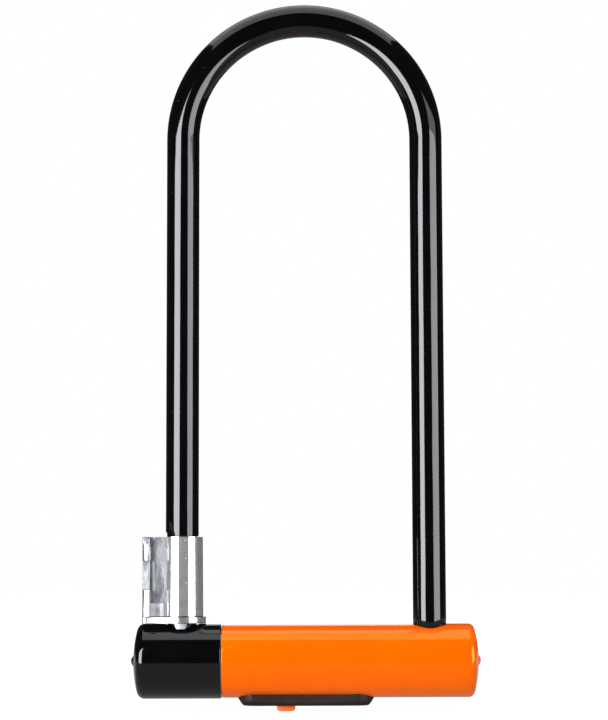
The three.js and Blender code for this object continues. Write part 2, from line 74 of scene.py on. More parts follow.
tube_low, tube_high = node_box("crossbar_tube")
AXIS = (tube_low.z + tube_high.z) / 2
bar_low, bar_high = node_box("shackle_bar")
BAR_R = (bar_high.y - bar_low.y) / 2
LEG_X = (bar_high.x - bar_low.x) / 2 - BAR_R
BEND = bar_high.z - BAR_R - LEG_X - AXIS
FOOT = bar_low.z - AXIS
coat_low, coat_high = node_box("shackle_coating")
COAT_R = (coat_high.y - coat_low.y) / 2
COAT_FOOT_RIGHT = coat_low.z - AXIS
bracket_low, bracket_high = node_box("bracket_sleeve")
TONGUE_DROP = 2.6  # how far the tongues hang below the bracket sleeve's flange
BRACKET = (bracket_low.z - AXIS + TONGUE_DROP, bracket_high.z - AXIS)
COAT_FOOT_LEFT = BRACKET[1] + 0.3
sleeve_low, sleeve_high = node_box("crossbar_sleeve")
SLEEVE_R = (sleeve_high.y - sleeve_low.y) / 2
SLEEVE_END = sleeve_low.x
NUB_END = sleeve_high.x
cap_low, cap_high = node_box("end_cap")
CAP_R = (cap_high.y - cap_low.y) / 2
CAP_END = cap_high.x
surround_low, surround_high = node_box("keyway_surround")
FACE_LOW = surround_low.z - AXIS
SURROUND_HALF = (surround_high.x - surround_low.x) / 2
SURROUND_WIDE = 8.5  # half its width
shutter_low, shutter_high = node_box("dust_shutter")
SKIN_BORE = 16.3  # radius inside both covers
TUBE_END = tube_high.x
LEG_HOLE_R = 8.5
KEY_HOLE_R = 7.9
PAST = 3  # how far a cutting tool runs past the surface it opens


# ---- Mesh helpers, all in millimetres --------------------------------------------------------
def shell(verts, faces):
    mesh = bpy.data.meshes.new("work")
    mesh.from_pydata([Vector(v) for v in verts], [], faces)
    work = bmesh.new()
    work.from_mesh(mesh)
    bmesh.ops.remove_doubles(work, verts=work.verts, dist=1e-5)
    bmesh.ops.recalc_face_normals(work, faces=work.faces)
    work.to_mesh(mesh)
    work.free()
    obj = bpy.data.objects.new("work", mesh)
    bpy.context.scene.collection.objects.link(obj)
    return obj


def applied(obj):
    """Applies an object's modifiers to its mesh."""
    graph = bpy.context.evaluated_depsgraph_get()
    graph.update()
    made = bpy.data.meshes.new_from_object(obj.evaluated_get(graph))
    old = obj.data
    obj.modifiers.clear()
    obj.data = made
    bpy.data.meshes.remove(old)
    return obj


def boolean(obj, other, operation):
    cutter = obj.modifiers.new("cut", "BOOLEAN")
    cutter.operation, cutter.object, cutter.solver = operation, other, "MANIFOLD"
    applied(obj)
    bpy.data.objects.remove(other)
    return obj


def cut(obj, *tools):
    for tool in tools:
        boolean(obj, tool, "DIFFERENCE")
    return obj


def join(obj, *more):
    for other in more:
        boolean(obj, other, "UNION")
    return obj


def bevelled(obj, width, segments=2, angle=35):
    bevel = obj.modifiers.new("bevel", "BEVEL")
    bevel.width, bevel.segments, bevel.limit_method = width, segments, "ANGLE"
    bevel.angle_limit, bevel.use_clamp_overlap = math.radians(angle), True
    return applied(obj)


def rows_of_faces(rows, count, first=0):
    """Quads joining each closed row of count points to the next row."""
    faces = []
    for row in range(rows - 1):
        low, high = first + row * count, first + (row + 1) * count
        for i in range(count):
            j = (i + 1) % count
            faces.append([low + i, low + j, high + j, high + i])
    return faces


def lathe(profile, sides=192, place=lambda r, a, t: (t, r * math.sin(a), r * math.cos(a))):
    """Turns a closed profile of (radius, distance along) points; ends on the axis become poles."""
    verts, rings = [], []
    for radius, along in profile:
        if radius < 1e-6:
            rings.append([len(verts)] * sides)
            verts.append(place(0, 0, along))
        else:
            rings.append(list(range(len(verts), len(verts) + sides)))
            verts += [place(radius, 2 * math.pi * i / sides, along) for i in range(sides)]
    faces = []
    for one, two in zip(rings, rings[1:]):
        for i in range(sides):
            j = (i + 1) % sides
            face = list(dict.fromkeys([one[i], one[j], two[j], two[i]]))
            if len(face) > 2:
                faces.append(face)
    return shell(verts, faces)


def around_z(x=0.0, y=0.0):
    return lambda r, a, t: (x + r * math.cos(a), y + r * math.sin(a), t)


def rod(radius, low, high, x=0.0, y=0.0, sides=96):
    return lathe([(0, low), (radius, low), (radius, high), (0, high)], sides, around_z(x, y))


def prism(outline, low, high, place):
    """An outline's straight extrusion; place(u, v, t) says where each point goes."""
    count = len(outline)
    verts = [place(u, v, t) for t in (low, high) for u, v in outline]
    faces = [list(range(count))[::-1], list(range(count, 2 * count))]
    faces += [[i, (i + 1) % count, count + (i + 1) % count, count + i] for i in range(count)]
    return shell(verts, faces)


def plan(outline, low, high):
    return prism(outline, low, high, lambda u, v, t: (u, v, t))


def front(outline, low, high):
    return prism(outline, low, high, lambda u, v, t: (u, t, v))


def block(x0, x1, y0, y1, z0, z1):
    return plan([(x0, y0), (x1, y0), (x1, y1), (x0, y1)], z0, z1)


def rounded(outline, radii, steps=6):
    """An outline with its corners turned to arcs; a radius for each corner."""
    out = []
    count = len(outline)
    for i in range(count):
        here = Vector(outline[i])
        before, after = Vector(outline[i - 1]) - here, Vector(outline[(i + 1) % count]) - here
        radius = radii[i] if isinstance(radii, (list, tuple)) else radii
        if radius <= 0:
            out.append(tuple(here))
            continue
        half = before.angle(after) / 2
        reach = min(radius / math.tan(half), before.length * 0.49, after.length * 0.49)
        start, end = here + before.normalized() * reach, here + after.normalized() * reach
        for step in range(steps + 1):
            t = step / steps
            out.append(tuple(start * (1 - t) ** 2 + here * 2 * t * (1 - t) + end * t**2))
    return out


def finished(obj, name, body, slot, replaces, finish=None, angle=30, shift=(0, 0, 0)):
    """Puts a shape into the frame in metres, smooth but for sharp edges, in place of CAD nodes."""
    mesh = obj.data
    place = Matrix.Translation(Vector(shift) + Vector((0, 0, AXIS)))
    mesh.transform(Matrix.Scale(MM, 4) @ place)
    work = bmesh.new()
    work.from_mesh(mesh)
    bmesh.ops.remove_doubles(work, verts=work.verts, dist=2e-7)
    bmesh.ops.dissolve_degenerate(work, edges=work.edges, dist=1e-7)
    bmesh.ops.recalc_face_normals(work, faces=work.faces)
    for edge in work.edges:
        edge.smooth = edge.calc_face_angle(0) < math.radians(angle)
    for face in work.faces:
        face.smooth = True
    work.to_mesh(mesh)
    work.free()
    obj.name = mesh.name = name
    mesh.materials.clear()
    mesh.materials.append(MATERIALS[finish or slot])
    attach(obj, body)
    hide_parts(*replaces)


# ---- Materials -------------------------------------------------------------------------------
class Finish:
    """A material being built: a Principled shader fed by noises in object coordinates (metres)."""

    def __init__(self, name, **sockets):
        self.material = bpy.data.materials.new(name)
        self.material.use_nodes = True
        self.tree = self.material.node_tree
        self.shader = next(n for n in self.tree.nodes if n.type == "BSDF_PRINCIPLED")
        for socket, value in sockets.items():
            self.shader.inputs[socket.replace("_", " ")].default_value = value
        self.where = self.add("ShaderNodeTexCoord").outputs["Object"]
        self.height = None

    def add(self, kind, **settings):
        node = self.tree.nodes.new(kind)
        for key, value in settings.items():
            setattr(node, key, value)
        return node

    def link(self, source, target):
        self.tree.links.new(source, target)

    def stretch(self, scale):
        mapping = self.add("ShaderNodeMapping")
        mapping.inputs["Scale"].default_value = scale
        self.link(self.where, mapping.inputs["Vector"])
        return mapping.outputs["Vector"]

    def noise(self, scale, detail=3.0, rough=0.5, stretch=None):
        node = self.add("ShaderNodeTexNoise")
        node.inputs["Scale"].default_value = scale
        node.inputs["Detail"].default_value = detail
        node.inputs["Roughness"].default_value = rough
        self.link(self.stretch(stretch) if stretch else self.where, node.inputs["Vector"])
        return node.outputs["Fac"]

    def specks(self, scale, size, seed):
        """Sparse dots: 1 at the middle of some Voronoi cells, 0 elsewhere."""
        cells = self.add("ShaderNodeTexVoronoi")
        cells.inputs["Scale"].default_value = scale
        cells.inputs["Randomness"].default_value = 1.0
        mapping = self.add("ShaderNodeMapping")
        mapping.inputs["Location"].default_value = (seed, seed * 0.7, seed * 1.3)
        self.link(self.where, mapping.inputs["Vector"])
        self.link(mapping.outputs["Vector"], cells.inputs["Vector"])
        dots = self.span(cells.outputs["Distance"], size, size * 0.5, 0, 1)
        pick = self.span(self.channel(cells.outputs["Color"]), 0.72, 0.76, 0, 1)
        return self.maths("MULTIPLY", dots, pick)

    def channel(self, colour):
        split = self.add("ShaderNodeSeparateColor")
        self.link(colour, split.inputs["Color"])
        return split.outputs["Red"]

    def span(self, value, low, high, to_low, to_high):
        node = self.add("ShaderNodeMapRange")
        node.inputs["From Min"].default_value, node.inputs["From Max"].default_value = low, high
        node.inputs["To Min"].default_value, node.inputs["To Max"].default_value = to_low, to_high
        self.link(value, node.inputs["Value"])
        return node.outputs["Result"]

    def maths(self, operation, *values):
        node = self.add("ShaderNodeMath", operation=operation)
        for socket, value in zip(node.inputs, values):
            if isinstance(value, float):
                socket.default_value = value
            else:
                self.link(value, socket)
        return node.outputs[0]

    def blend_values(self, factor, one, two):
        node = self.add("ShaderNodeMix", data_type="FLOAT")
        for socket, source in (("Factor", factor), (2, one), (3, two)):
            self.link(source, node.inputs[socket])
        return node.outputs[0]

    def blend(self, factor, one, two):
        node = self.add("ShaderNodeMix", data_type="RGBA")
        self.link(factor, node.inputs["Factor"])
        for socket, colour in ((6, one), (7, two)):
            if isinstance(colour, tuple):
                node.inputs[socket].default_value = (*colour, 1)
            else:
                self.link(colour, node.inputs[socket])
        return node.outputs[2]

    def clouded(self, cloud, one, two, low=0.3, high=0.7):
        """Wanders between two colours as the cloud goes from low to high."""
        return self.blend(self.span(cloud, low, high, 0, 1), one, two)

    def colour(self, source):
        self.link(source, self.shader.inputs["Base Color"])

    def roughness(self, source, low, high, to_low, to_high):
        self.link(self.span(source, low, high, to_low, to_high), self.shader.inputs["Roughness"])

    def bump(self, source, depth):
        """Adds relief of that depth in metres."""
        node = self.add("ShaderNodeBump")
        node.inputs["Strength"].default_value = 1.0
        node.inputs["Distance"].default_value = depth
        self.link(source, node.inputs["Height"])
        if self.height is not None:
            self.link(self.height, node.inputs["Normal"])
        self.height = node.outputs["Normal"]
        self.link(self.height, self.shader.inputs["Normal"])


def black_vinyl():
    vinyl = Finish("black_vinyl", IOR=1.5)
    cloud = vinyl.noise(70, 4)
    base = vinyl.clouded(cloud, (0.0005, 0.0005, 0.0006), (0.0011, 0.0011, 0.0012), 0.35, 0.65)
    vinyl.colour(vinyl.blend(vinyl.specks(330, 0.055, 3.1), base, (0.09, 0.09, 0.1)))
    vinyl.roughness(vinyl.noise(240, 3), 0.3, 0.7, 0.045, 0.085)
    vinyl.bump(vinyl.noise(95, 1.5, 0.4, (1, 1, 0.42)), 0.00011)
    vinyl.bump(vinyl.noise(900, 2, 0.5), 0.0000025)
    vinyl.bump(vinyl.specks(330, 0.06, 3.1), 0.00003)
    return vinyl.material


def orange_vinyl():
    vinyl = Finish("orange_vinyl", IOR=1.6, Specular_Tint=(1.0, 1.0, 0.15, 1.0))
    cloud = vinyl.noise(45, 4)
    base = vinyl.clouded(cloud, (0.80, 0.100, 0.0003), (0.86, 0.110, 0.0003), 0.35, 0.65)
    vinyl.colour(vinyl.blend(vinyl.specks(260, 0.06, 1.7), base, (0.95, 0.36, 0.12)))
    vinyl.roughness(vinyl.noise(200, 3), 0.3, 0.7, 0.05, 0.1)
    vinyl.bump(vinyl.noise(60, 1.5, 0.4, (0.5, 1, 1)), 0.00012)
    vinyl.bump(vinyl.specks(260, 0.06, 1.7), 0.00003)
    return vinyl.material


def dark_plastic():
    plastic = Finish("dark_plastic", IOR=1.2)
    cloud = plastic.noise(120, 5)
    plastic.colour(plastic.clouded(cloud, (0.0130, 0.0088, 0.0068), (0.0185, 0.0128, 0.0100)))
    plastic.roughness(plastic.noise(500, 4), 0.3, 0.7, 0.36, 0.5)
    plastic.bump(plastic.noise(2600, 3, 0.6), 0.00001)
    return plastic.material


def orange_plastic():
    plastic = Finish("orange_plastic", IOR=1.47)
    cloud = plastic.noise(150, 4)
    plastic.colour(plastic.clouded(cloud, (0.86, 0.12, 0.012), (0.93, 0.16, 0.02)))
    plastic.roughness(plastic.noise(400, 3), 0.3, 0.7, 0.25, 0.4)
    plastic.bump(plastic.noise(1800, 3, 0.6), 0.000006)
    return plastic.material


# Heights on the bracket sleeve that its shape and its material share.
FLANGE = 3.0
NOTCH_LOW, NOTCH_HIGH = 33.7, 47.6
LEAD_IN = 4.8  # the rail's tapered top


def polished_zinc():
    """Polished tube, satin flange and rail; neck, tongues, notches and lead-in keep a dull skin."""
    zinc = Finish("polished_zinc", Metallic=0.82)
    split = zinc.add("ShaderNodeSeparateXYZ")
    zinc.link(zinc.where, split.inputs["Vector"])
    across, height = split.outputs["X"], split.outputs["Z"]
    low, high = BRACKET

    def above(z, soft=0.1):
        return zinc.span(height, (AXIS + z) * MM, (AXIS + z + soft) * MM, 0, 1)

    def below(z, soft=0.1):
        return zinc.span(height, (AXIS + z) * MM, (AXIS + z + soft) * MM, 1, 0)

    def outward(source, start, end):
        """From 0 to 1 between two distances from the leg's centreline, away from the other leg."""
        return zinc.span(source, -(LEG_X + start) * MM, -(LEG_X + end) * MM, 0, 1)

    def both(one, two):
        return zinc.maths("MULTIPLY", one, two)

    def either(one, two):
        return zinc.maths("MAXIMUM", one, two)

    wander = zinc.noise(260, 3, 0.55, (1, 1, 0.5))
    edge = zinc.maths("MULTIPLY_ADD", wander, 0.0012, across)
    upper_rail = both(above(NOTCH_HIGH), below(high - LEAD_IN, 0.3))
    bright_rail = either(below(NOTCH_LOW - 0.1), upper_rail)
    flange = both(above(low - 0.1), below(low + FLANGE + 0.1))
    satin = either(both(outward(across, 14.75, 14.9), bright_rail), flange)
    skin = both(outward(edge, 7.2, 7.8), zinc.maths("SUBTRACT", 1.0, satin))
    skin = either(skin, below(low - 0.1))
    # Painted shade: a dark line in the groove just above the flange and a dark outline along the
    # flange's lower edge; both also take the dull skin's roughness.
    groove_shade = both(above(low + FLANGE - 0.15, 0.05), below(low + FLANGE + 0.4, 0.05))
    edge_shade = both(above(low, 0.05), below(low + 0.3, 0.05))
    painted_shade = either(groove_shade, edge_shade)

    cloud = zinc.noise(260, 5, 0.6)
    grain = zinc.noise(330, 6, 0.68, (1, 1, 0.3))
    shiny = zinc.clouded(cloud, (0.70, 0.71, 0.73), (0.84, 0.85, 0.87))
    dull = zinc.clouded(grain, (0.15, 0.154, 0.162), (0.40, 0.406, 0.418), 0.36, 0.64)
    brushed = zinc.clouded(cloud, (0.38, 0.385, 0.395), (0.52, 0.525, 0.535))
    clean = zinc.blend(skin, zinc.blend(satin, shiny, brushed), dull)
    # The near-black colour is the painted shade in the groove above the flange and along the
    # flange's lower edge.
    zinc.colour(zinc.blend(painted_shade, clean, (0.045, 0.046, 0.049)))

    polish = zinc.blend_values(
        satin, zinc.span(cloud, 0.3, 0.7, 0.05, 0.10), zinc.span(cloud, 0.3, 0.7, 0.16, 0.24))
    rough = zinc.blend_values(either(skin, painted_shade), polish, zinc.span(grain, 0.3, 0.7, 0.30, 0.44))
    zinc.link(rough, zinc.shader.inputs["Roughness"])
    zinc.bump(both(grain, zinc.span(skin, 0, 1, 0.02, 1)), 0.00016)
    zinc.bump(zinc.noise(90, 2, 0.5, (1, 1, 0.3)), 0.00005)
    zinc.bump(zinc.specks(300, 0.06, 5.2), 0.000025)
    return zinc.material


def machined(name, one, two, rough, turned=900):
    """Bare metal with fine tool marks across it and a little tarnish."""
    metal = Finish(name, Metallic=1.0)
    stain = metal.noise(180, 5, 0.6)
    metal.colour(metal.clouded(stain, one, two, 0.35, 0.65))
    marks = metal.noise(turned, 2, 0.5, (0.2, 0.2, 2.2))
    metal.roughness(marks, 0.3, 0.7, rough - 0.06, rough + 0.08)
    metal.bump(marks, 0.00001)
    return metal.material


MATERIALS = {
    "black_vinyl": black_vinyl(),
    "orange_vinyl": orange_vinyl(),
    "dark_plastic": dark_plastic(),
    "orange_plastic": orange_plastic(),
    "polished_zinc": polished_zinc(),
    "steel": machined("steel", (0.46, 0.465, 0.47), (0.60, 0.605, 0.61), 0.3),
    "pin_steel": machined("pin_steel", (0.30, 0.305, 0.315), (0.40, 0.405, 0.41), 0.38),
    "phosphated": machined("phosphated", (0.008, 0.008, 0.009), (0.018, 0.018, 0.019), 0.34, 500),
    "brass": machined("brass", (0.62, 0.45, 0.19), (0.76, 0.57, 0.27), 0.28),
}


# ---- Shackle ---------------------------------------------------------------------------------
def smooth_step(t):
    t = min(max(t, 0), 1)
    return t * t * (3 - 2 * t)


def swept(rings_left, rings_right, radius_at, sides, bend_steps=150, leg_step=6.0):
    """Surface along the shackle; rings are (height, radius) at each foot, from its end inwards."""
    rows = [("left", height, radius) for height, radius in rings_left]
    last = rings_left[-1][0]
    steps = max(2, int((BEND - last) / leg_step))
    rows += [("left", last + (BEND - last) * i / steps, radius_at) for i in range(1, steps)]
    rows += [("bend", math.pi * (1 - i / bend_steps), radius_at) for i in range(bend_steps + 1)]
    last = rings_right[-1][0]
    steps = max(2, int((BEND - last) / leg_step))
    rows += [("right", last + (BEND - last) * (steps - i) / steps, radius_at)
             for i in range(1, steps)]
    rows += [("right", height, radius) for height, radius in reversed(rings_right)]
    verts = []
    for kind, value, radius in rows:
        for i in range(sides):
            a = 2 * math.pi * i / sides
            r = radius(a) if callable(radius) else radius
            out, side = r * math.cos(a), r * math.sin(a)
            if kind == "left":
                verts.append((-LEG_X - out, side, value))
            elif kind == "right":
                verts.append((LEG_X + out, side, value))
            else:
                reach = LEG_X + out
                verts.append((reach * math.cos(value), side, BEND + reach * math.sin(value)))
    return verts, rows_of_faces(len(rows), sides), len(rows)


def shackle_coat():
    """Thick vinyl skin, open at both feet, with a small trimmed nick on the left one."""
    sides = 96
    bore = BAR_R + 0.2

    def nicked(depth):
        def radius(a):
            facing = math.cos(a)  # 1 on the side away from the other leg
            return COAT_R - depth * smooth_step((facing - 0.35) / 0.4)
        return radius

    foot = COAT_FOOT_LEFT
    left = [
        (foot, lambda a: nicked(0.62)(a) - 0.12),
        (foot + 0.15, nicked(0.62)),
        (foot + 1.5, nicked(0.55)),
        (foot + 1.9, nicked(0.25)),
        (foot + 2.3, nicked(0)),
    ]
    foot = COAT_FOOT_RIGHT
    right = [(foot, COAT_R - 0.3), (foot + 0.1, COAT_R - 0.1), (foot + 0.3, COAT_R)]
    outer, faces, rows = swept(left, right, COAT_R, sides)
    inner_left = [(COAT_FOOT_LEFT, bore), (COAT_FOOT_LEFT + 3, bore)]
    inner_right = [(COAT_FOOT_RIGHT, bore), (COAT_FOOT_RIGHT + 3, bore)]
    inner, inner_faces, inner_rows = swept(inner_left, inner_right, bore, sides, 48, 40.0)
    start = len(outer)
    faces += [[start + k for k in reversed(face)] for face in inner_faces]
    for outer_row, inner_row in ((0, 0), (rows - 1, inner_rows - 1)):
        for i in range(sides):
            j = (i + 1) % sides
            faces.append([outer_row * sides + i, outer_row * sides + j,
                          start + inner_row * sides + j, start + inner_row * sides + i])
    return shell(outer + inner, faces)


def shackle_steel():
    """Bare bar: chamfered feet with a notch on the inner side of each for its deadbolt."""
    sides, chamfer = 72, 1.2
    notch_depth, room = 5.3, 0.4
    foot = [(FOOT, BAR_R - chamfer - 0.1), (FOOT + 0.1, BAR_R - chamfer),
            (FOOT + chamfer, BAR_R - 0.05), (FOOT + chamfer + 0.2, BAR_R)]
    verts, faces, rows = swept(foot, foot, BAR_R, sides, 48, 20.0)
    faces += [list(range(sides))[::-1], list(range((rows - 1) * sides, rows * sides))]
    bar = shell(verts, faces)
    bolt_low, bolt_high = node_box("deadbolt_right")
    low, high = bolt_low.z - AXIS - room, bolt_high.z - AXIS + room
    inner = LEG_X - BAR_R
    for side in (-1, 1):
        x0, x1 = sorted((side * (inner - 2), side * (inner + notch_depth)))
        cut(bar, block(x0, x1, -BAR_R - 2, BAR_R + 2, low, high))
    return bar


finished(shackle_coat(), "shackle_coat", "shackle", "black_vinyl", ["shackle_coating"])
finished(shackle_steel(), "shackle_steel", "shackle", "steel", ["shackle_bar"], "phosphated")


# ---- Crossbar covers -------------------------------------------------------------------------
DOME_R = 60.0
DOME_END = 81.9
NUB_ROOT = 3.7  # radius where the moulding nub meets the dome
EDGE = 0.45  # rounding at a cover's open end
COVER_BEVEL = 0.18


def cover_profile(radius, corner, open_end):
    """Half section of a domed cover towards +X: nub, shallow dome, round corner, wall, bore."""
    def dome(r):
        return DOME_END - DOME_R + math.sqrt(DOME_R**2 - r**2)

    profile = [
        (0, NUB_END), (0.6, NUB_END - 0.03), (1.1, NUB_END - 0.15), (1.6, NUB_END - 0.38),
        (2.1, NUB_END - 0.68), (2.6, dome(2.6) + 0.26), (3.1, dome(3.1) + 0.12),
        (NUB_ROOT, dome(NUB_ROOT) + 0.04),
    ]
    centre_r = radius - corner
    lean = math.asin(centre_r / (DOME_R - corner))
    centre_x = DOME_END - DOME_R + (DOME_R - corner) * math.cos(lean)
    steps = 10
    for i in range(1, steps):
        r = NUB_ROOT + (centre_r + corner * math.sin(lean) - NUB_ROOT) * i / steps
        profile.append((r, dome(r)))
    for i in range(13):
        angle = lean + (math.pi / 2 - lean) * i / 12
        profile.append((centre_r + corner * math.sin(angle), centre_x + corner * math.cos(angle)))
    steps = max(4, int((centre_x - open_end) / 2.5))
    for i in range(1, steps + 1):
        profile.append((radius, centre_x + (open_end + EDGE - centre_x) * i / steps))
    for i in range(1, 5):
        angle = math.pi / 2 * i / 4
        inset = EDGE * (1 - math.cos(angle))
        profile.append((radius - inset, open_end + EDGE * (1 - math.sin(angle))))
    bore_end = TUBE_END + 0.3
    return profile + [(SKIN_BORE, open_end), (SKIN_BORE, bore_end), (0, bore_end)]


def orange_cover():
    """Cover with a leg hole above; below, the key hole and four slots for the surround's clips."""
    corner, leg_gap = 3.0, 0.22
    clip_x, clip_half, clip_in, clip_out = 20, 2.75, 5.65, 7.55
    cover = lathe(cover_profile(SLEEVE_R, corner, SLEEVE_END))
    tools = [rod(COAT_R + leg_gap, 2, CAP_R + PAST, LEG_X), rod(KEY_HOLE_R, -CAP_R - PAST, -2)]
    for x in (-clip_x, clip_x):
        for side in (-1, 1):
            y0, y1 = sorted((side * clip_in, side * clip_out))
            tools.append(block(x - clip_half, x + clip_half, y0, y1, -CAP_R, -8))
    return bevelled(cut(cover, *tools), COVER_BEVEL, 2, 50)


def black_cap():
    corner = 3.7
    profile = [(r, -x) for r, x in cover_profile(CAP_R, corner, -CAP_END)]
    leg_hole = rod(LEG_HOLE_R, 2, CAP_R + PAST, -LEG_X)
    return bevelled(cut(lathe(profile), leg_hole), COVER_BEVEL, 2, 50)


finished(orange_cover(), "orange_cover", "crossbar", "orange_vinyl", ["crossbar_sleeve"])
finished(black_cap(), "black_end_cap", "crossbar", "black_vinyl", ["end_cap"])


# ---- Keyway surround and shutter -------------------------------------------------------------
def stadium(half_length, half_width, steps=20):
    centre = half_length - half_width
    right = [(centre + half_width * math.cos(a), half_width * math.sin(a))
             for a in (math.pi * (i / steps - 0.5) for i in range(steps + 1))]
    return right + [(-x, -y) for x, y in right]


def surround():
    """Moulding under the crossbar, with the shutter's track and the keyway behind it."""
    round_r, steps = 2.8, 8
    wall_top = -12.5
    rows = []
    for i in range(steps + 1):
        angle = math.pi / 2 * i / steps
        rows.append((round_r * (1 - math.sin(angle)), FACE_LOW + round_r * (1 - math.cos(angle))))
    rows.append((0, wall_top))
    outlines = [stadium(SURROUND_HALF - inset, SURROUND_WIDE - inset) for inset, _ in rows]
    count = len(outlines[0])
    verts = [(x, y, z) for outline, (_, z) in zip(outlines, rows) for x, y in outline]
    faces = [list(range(count))[::-1], list(range((len(rows) - 1) * count, len(rows) * count))]
    body = shell(verts, faces + rows_of_faces(len(rows), count))
    # Both ends slope inwards towards the face.
    top = -10
    low_end, high_end, slope_top = SURROUND_HALF - 2.7, SURROUND_HALF + 0.3, FACE_LOW + 3.9
    ends = [(-high_end, top), (-high_end, slope_top), (-low_end, FACE_LOW), (low_end, FACE_LOW),
            (high_end, slope_top), (high_end, top)]
    ends = rounded(ends, [0, 0.8, 1.6, 1.6, 0.8, 0], 8)
    body = boolean(body, front(ends, -20, 20), "INTERSECT")
    # A shallow scallop on the front and the back leaves a curved step along the body.
    scallop_x, scallop_z, scallop_long, scallop_high, scallop_deep = -1.2, -15.0, 24.8, 4.75, 0.42
    turns = [2 * math.pi * i / 96 for i in range(96)]
    arc = [(scallop_x + scallop_long * math.cos(a), scallop_z + scallop_high * math.sin(a))
           for a in turns]
    for side in (-1, 1):
        y0, y1 = sorted((side * (SURROUND_WIDE - scallop_deep), side * (SURROUND_WIDE + 2)))
        cut(body, front(arc, y0, y1))
    half, floor, gap, travel = 5.7, -19.6, 0.4, 12.6
    start, end = shutter_low.x - travel - gap, shutter_high.x + gap
    seat, rib, pocket_end = SLEEVE_R + 0.06, 2.1, 29
    tab_half, tab_start, tab_end = 4.5, -27.55, 5.8
    tab_slot = [(tab_start, -tab_half), (tab_end, -tab_half), (tab_end, tab_half),
                (tab_start, tab_half)]
    ring_hole_r, ring_hole_low = 7.6, -17.9
    cut(
        body,
        lathe([(0, -40), (seat, -40), (seat, 40), (0, 40)]),
        block(start, end, -half, half, floor, top),
        block(end + rib, pocket_end, -half, half, floor, top),
        plan(rounded(tab_slot, 1.4), FACE_LOW - 2, top),
        rod(ring_hole_r, ring_hole_low, top),
    )
    return bevelled(body, 0.16, 2, 40)


def shutter():
    """Flat slide with a thumb tab, which has three grip grooves in its lower face."""
    left, right, root = -13.85, -5.05, -18.9
    tab = [(left, root), (left, -AXIS), (right, -AXIS), (right, root)]
    body = block(shutter_low.x, shutter_high.x, -5.5, 5.5, -19.4, -18.1)
    knob = bevelled(front(rounded(tab, [0, 2.0, 2.0, 0], 8), -4, 4), 0.55, 3, 60)
    grooves = [block(x - 0.35, x + 0.35, -2.6, 2.6, -AXIS - 1, -AXIS + 0.3)
               for x in (-11.4, -9.45, -7.5)]
    return bevelled(join(body, cut(knob, *grooves)), 0.1, 2, 60)


finished(surround(), "keyway_skirt", "crossbar", "dark_plastic", ["keyway_surround"])
finished(shutter(), "shutter_slide", "shutter", "orange_plastic", ["dust_shutter"])


# ---- Bracket sleeve, drawn about the left leg's centreline -----------------------------------
def mirrored(half):
    """A half outline and its mirror image across the second axis."""
    return half + [(x, -y) for x, y in reversed(half)]


def bracket():
    low, high = BRACKET
    sides = 144
    tube = lathe([(0, low), (10.2, low), (9.9, high), (0, high)], sides, around_z())

    rail_out, rail_in, rail_half, notch = bracket_low.x + LEG_X, -14.9, 10.0, 2.4
    edge = [
        (rail_half, low + 1), (rail_half, NOTCH_LOW), (rail_half - notch, NOTCH_LOW),
        (rail_half - notch, NOTCH_HIGH), (rail_half, NOTCH_HIGH), (rail_half, high - LEAD_IN),
        (rail_half - 1.6, high),
    ]
    radii = [0, 0.3, 0.5, 0.5, 0.3, 1.2, 0.8]
    outline = rounded(edge + [(-y, z) for y, z in reversed(edge)], radii + radii[::-1], 5)
    section = [(rail_out, rail_half - 1.3), (rail_out + 1.3, rail_half - 0.28),
               (rail_in, rail_half)]
    section = rounded(mirrored(section), [0.7, 0, 0.3, 0.3, 0, 0.7])
    rail = prism(outline, rail_out - 1, rail_in + 1, lambda u, v, t: (t, u, v))
    rail = boolean(rail, plan(section, low + 1, high), "INTERSECT")

    neck = [(rail_in - 1, 5.0), (-12.75, 5.0), (-12.5, 5.3), (-12.1, 5.2), (-6, 5.35)]
    neck = plan(mirrored(neck), low + 1, high)
    stop_top = 27.4
    stop = mirrored([(rail_in - 1, 9.2), (-9.9, 9.2), (-7.4, 6.9), (-6, 6)])
    stop = plan(rounded(stop, [0, 0.6, 1.2, 0, 0, 1.2, 0.6, 0]), low + 1, stop_top)
    square = rounded([(0, -10), (rail_out, -10), (rail_out, 10), (0, 10)], [0, 1.6, 1.6, 0])
    foot = join(plan(square, low, low + FLANGE), rod(11.4, low, low + FLANGE, sides=sides))
    body = join(tube, rail, neck, stop, foot)

    # A tongue at the front and one at the back, curved like the tube.
    tip = low - TONGUE_DROP
    tongue = rounded([(-3.3, low + 1), (-2.2, tip), (2.2, tip), (3.3, low + 1)], [0, 0.9, 0.9, 0])
    for side in (-1, 1):
        y0, y1 = sorted((side * 8.5, side * 12))
        ring = [(9.45, low - 3), (11.15, low - 3), (11.15, low + 2), (9.45, low + 2),
                (9.45, low - 3)]
        ring = lathe(ring, sides, around_z())
        join(body, boolean(front(tongue, y0, y1), ring, "INTERSECT"))

    base, roof = low + FLANGE, low + FLANGE + 0.35
    groove = [(9.8, base), (10.8, base), (10.8, roof), (9.8, roof), (9.8, base)]
    bore = rod(BAR_R + 0.25, low - 5, high + 5, sides=sides)
    cut(body, lathe(groove, sides, around_z()), bore)
    return bevelled(body, 0.25, 3, 32)


finished(bracket(), "bracket_holder", "shackle", "polished_zinc", ["bracket_sleeve"],
         angle=40, shift=(-LEG_X, 0, 0))

# ---- The remaining nodes keep their shape and take a procedural finish -----------------------
BY_WORD = [
    ("keyway_ring", "dark_plastic"), ("cylinder_shell", "brass"), ("key_plug", "brass"),
    ("disc_spacer", "pin_steel"), ("front_disc", "steel"), ("disc_", "brass"),
    ("sidebar", "pin_steel"), ("_pin_", "pin_steel"), ("cam_screw", "pin_steel"),
    ("follower_pin", "pin_steel"),
]
for name, node in frame["nodes"].items():
    if node.hide_render:
        continue
    slot = next((slot for word, slot in BY_WORD if word in name), "steel")
    node.data.materials.clear()
    node.data.materials.append(MATERIALS[slot])

